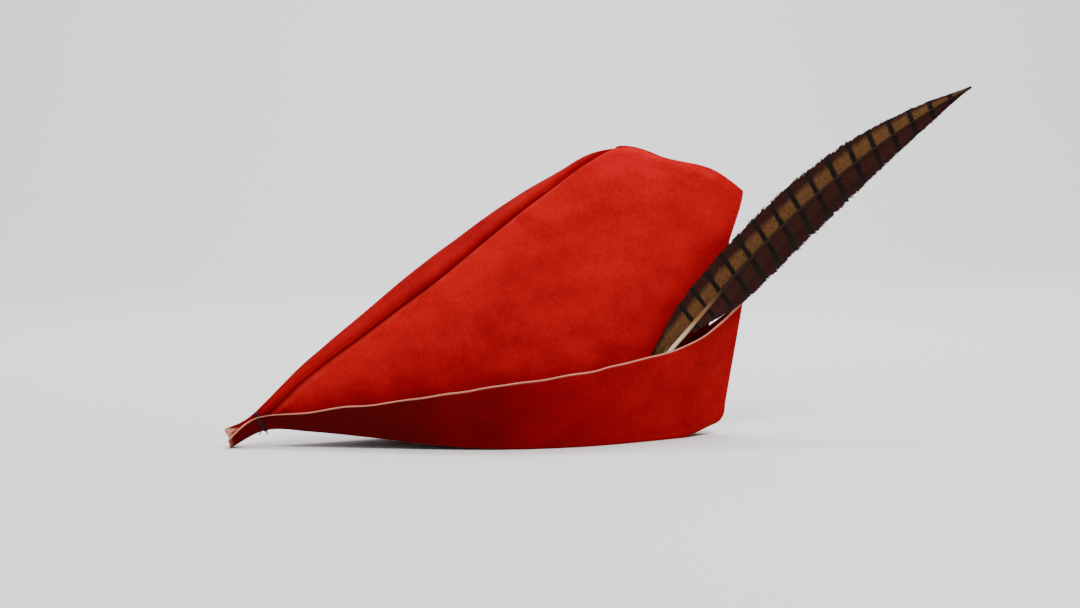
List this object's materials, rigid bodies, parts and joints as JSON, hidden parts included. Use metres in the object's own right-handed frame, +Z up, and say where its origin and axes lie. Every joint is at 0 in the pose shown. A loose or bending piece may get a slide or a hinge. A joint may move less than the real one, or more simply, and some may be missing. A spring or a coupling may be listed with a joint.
{
  "type": "pointed feathered hat",
  "caption": "Pointed suede hat with a long front tip bound with cord, a turned-up brim that peaks at the back, and a barred tail feather that tilts and slides in its keeper.",
  "frame": {"origin": "middle of the head opening, on the surface that the hat stands on", "axes": "+Z up; the pointed front looks along -X and the back along +X; the feather is on the -Y side, the wearer's left"},
  "size_m": [0.5381, 0.1392, 0.2406],
  "materials": {
    "suede": "napped red suede",
    "seam_thread": "dark red sewing thread",
    "binding_cord": "dark waxed cord",
    "keeper_suede": "napped red suede",
    "quill_horn": "pale horn",
    "vane_barbs": "tan feather barbs with dark bars",
    "feather_down": "soft down"
  },
  "bodies": {
    "hat": {"crown_left": "suede", "crown_right": "suede", "brim_left": "suede", "brim_right": "suede", "ridge_stitching": "seam_thread", "crown_back_stitching": "seam_thread", "brim_back_stitching": "seam_thread", "brim_join_stitching_left": "seam_thread", "brim_join_stitching_right": "seam_thread", "tip_binding": "binding_cord", "binding_knot": "binding_cord", "keeper_stitch": "binding_cord"},
    "keeper": {"keeper_foot": "keeper_suede", "keeper_loop": "keeper_suede"},
    "feather": {"quill": "quill_horn", "shaft": "quill_horn", "upper_vane": "vane_barbs", "lower_vane": "vane_barbs", "down_tuft": "feather_down"}
  },
  "joints": [
    {"name": "feather_tilt", "type": "hinge", "parent": "hat", "child": "keeper", "pos_m": [0.0865, -0.0352, 0.044], "axis": [0.309, -0.9511, 0], "range_deg": [-3, 10]},
    {"name": "feather_slide", "type": "slide", "parent": "keeper", "child": "feather", "axis": [0.6666, 0.2166, 0.7133], "range_m": [0, 0.06]}
  ]
}
